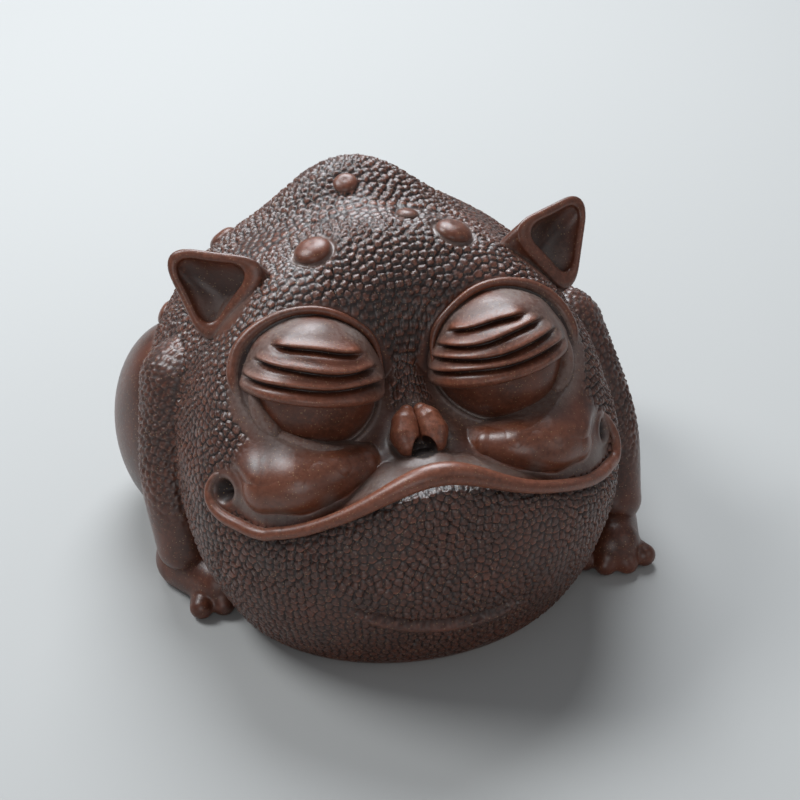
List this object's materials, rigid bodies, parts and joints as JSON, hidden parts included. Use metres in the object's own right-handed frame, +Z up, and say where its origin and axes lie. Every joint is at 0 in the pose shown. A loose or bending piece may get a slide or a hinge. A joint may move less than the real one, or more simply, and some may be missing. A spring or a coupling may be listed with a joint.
{
  "type": "clay tea pet",
  "caption": "Squat toad-like clay ornament with closed wrinkled eyes, a wide wavy smile, cup ears, scaled skin, warts and a hollow body closed by a flat base.",
  "frame": {"origin": "on the resting face of the base, under the middle of the belly", "axes": "+Z up, -Y the way the face looks, +X to the right of a viewer who faces it"},
  "size_m": [0.0926, 0.0932, 0.0674],
  "materials": {
    "back_wart_1_left": "unglazed fired clay, rubbed to a soft gloss",
    "back_wart_1_right": "unglazed fired clay, rubbed to a soft gloss",
    "back_wart_2_left": "unglazed fired clay, rubbed to a soft gloss",
    "back_wart_2_right": "unglazed fired clay, rubbed to a soft gloss",
    "back_wart_3_left": "unglazed fired clay, rubbed to a soft gloss",
    "back_wart_3_right": "unglazed fired clay, rubbed to a soft gloss",
    "base_plate": "unglazed fired clay, scraped flat, matt",
    "body_shell": "unglazed fired clay, stamped all over with small scales, semi-matt",
    "brow_wart_left": "unglazed fired clay, rubbed to a soft gloss",
    "brow_wart_right": "unglazed fired clay, rubbed to a soft gloss",
    "cheek_left": "unglazed fired clay, rubbed to a soft gloss",
    "cheek_right": "unglazed fired clay, rubbed to a soft gloss",
    "crown_wart": "unglazed fired clay, rubbed to a soft gloss",
    "ear_left": "unglazed fired clay, rubbed to a soft gloss",
    "ear_right": "unglazed fired clay, rubbed to a soft gloss",
    "eye_corner_left": "unglazed fired clay, rubbed to a soft gloss",
    "eye_corner_right": "unglazed fired clay, rubbed to a soft gloss",
    "eyeball_left": "unglazed fired clay, rubbed to a soft gloss",
    "eyeball_right": "unglazed fired clay, rubbed to a soft gloss",
    "eyelid_left": "unglazed fired clay, rubbed to a soft gloss",
    "eyelid_right": "unglazed fired clay, rubbed to a soft gloss",
    "face_shell": "unglazed fired clay, stamped all over with small scales, semi-matt",
    "forefoot_left": "unglazed fired clay, rubbed to a soft gloss",
    "forefoot_right": "unglazed fired clay, rubbed to a soft gloss",
    "foreleg_left": "unglazed fired clay, stamped all over with small scales, semi-matt",
    "foreleg_right": "unglazed fired clay, stamped all over with small scales, semi-matt",
    "haunch_left": "unglazed fired clay, rubbed to a soft gloss",
    "haunch_right": "unglazed fired clay, rubbed to a soft gloss",
    "hind_foot_left": "unglazed fired clay, rubbed to a soft gloss",
    "hind_foot_right": "unglazed fired clay, rubbed to a soft gloss",
    "hump_wart": "unglazed fired clay, rubbed to a soft gloss",
    "jaw_shell": "unglazed fired clay, stamped all over with small scales, semi-matt",
    "lip_roll": "unglazed fired clay, rubbed to a soft gloss",
    "nostril_left": "unglazed fired clay, rubbed to a soft gloss",
    "nostril_right": "unglazed fired clay, rubbed to a soft gloss"
  },
  "bodies": {
    "root": {"back_wart_1_left": "back_wart_1_left", "back_wart_1_right": "back_wart_1_right", "back_wart_2_left": "back_wart_2_left", "back_wart_2_right": "back_wart_2_right", "back_wart_3_left": "back_wart_3_left", "back_wart_3_right": "back_wart_3_right", "base_plate": "base_plate", "body_shell": "body_shell", "brow_wart_left": "brow_wart_left", "brow_wart_right": "brow_wart_right", "cheek_left": "cheek_left", "cheek_right": "cheek_right", "crown_wart": "crown_wart", "ear_left": "ear_left", "ear_right": "ear_right", "eye_corner_left": "eye_corner_left", "eye_corner_right": "eye_corner_right", "eyeball_left": "eyeball_left", "eyeball_right": "eyeball_right", "eyelid_left": "eyelid_left", "eyelid_right": "eyelid_right", "face_shell": "face_shell", "forefoot_left": "forefoot_left", "forefoot_right": "forefoot_right", "foreleg_left": "foreleg_left", "foreleg_right": "foreleg_right", "haunch_left": "haunch_left", "haunch_right": "haunch_right", "hind_foot_left": "hind_foot_left", "hind_foot_right": "hind_foot_right", "hump_wart": "hump_wart", "jaw_shell": "jaw_shell", "lip_roll": "lip_roll", "nostril_left": "nostril_left", "nostril_right": "nostril_right"}
  },
  "joints": []
}
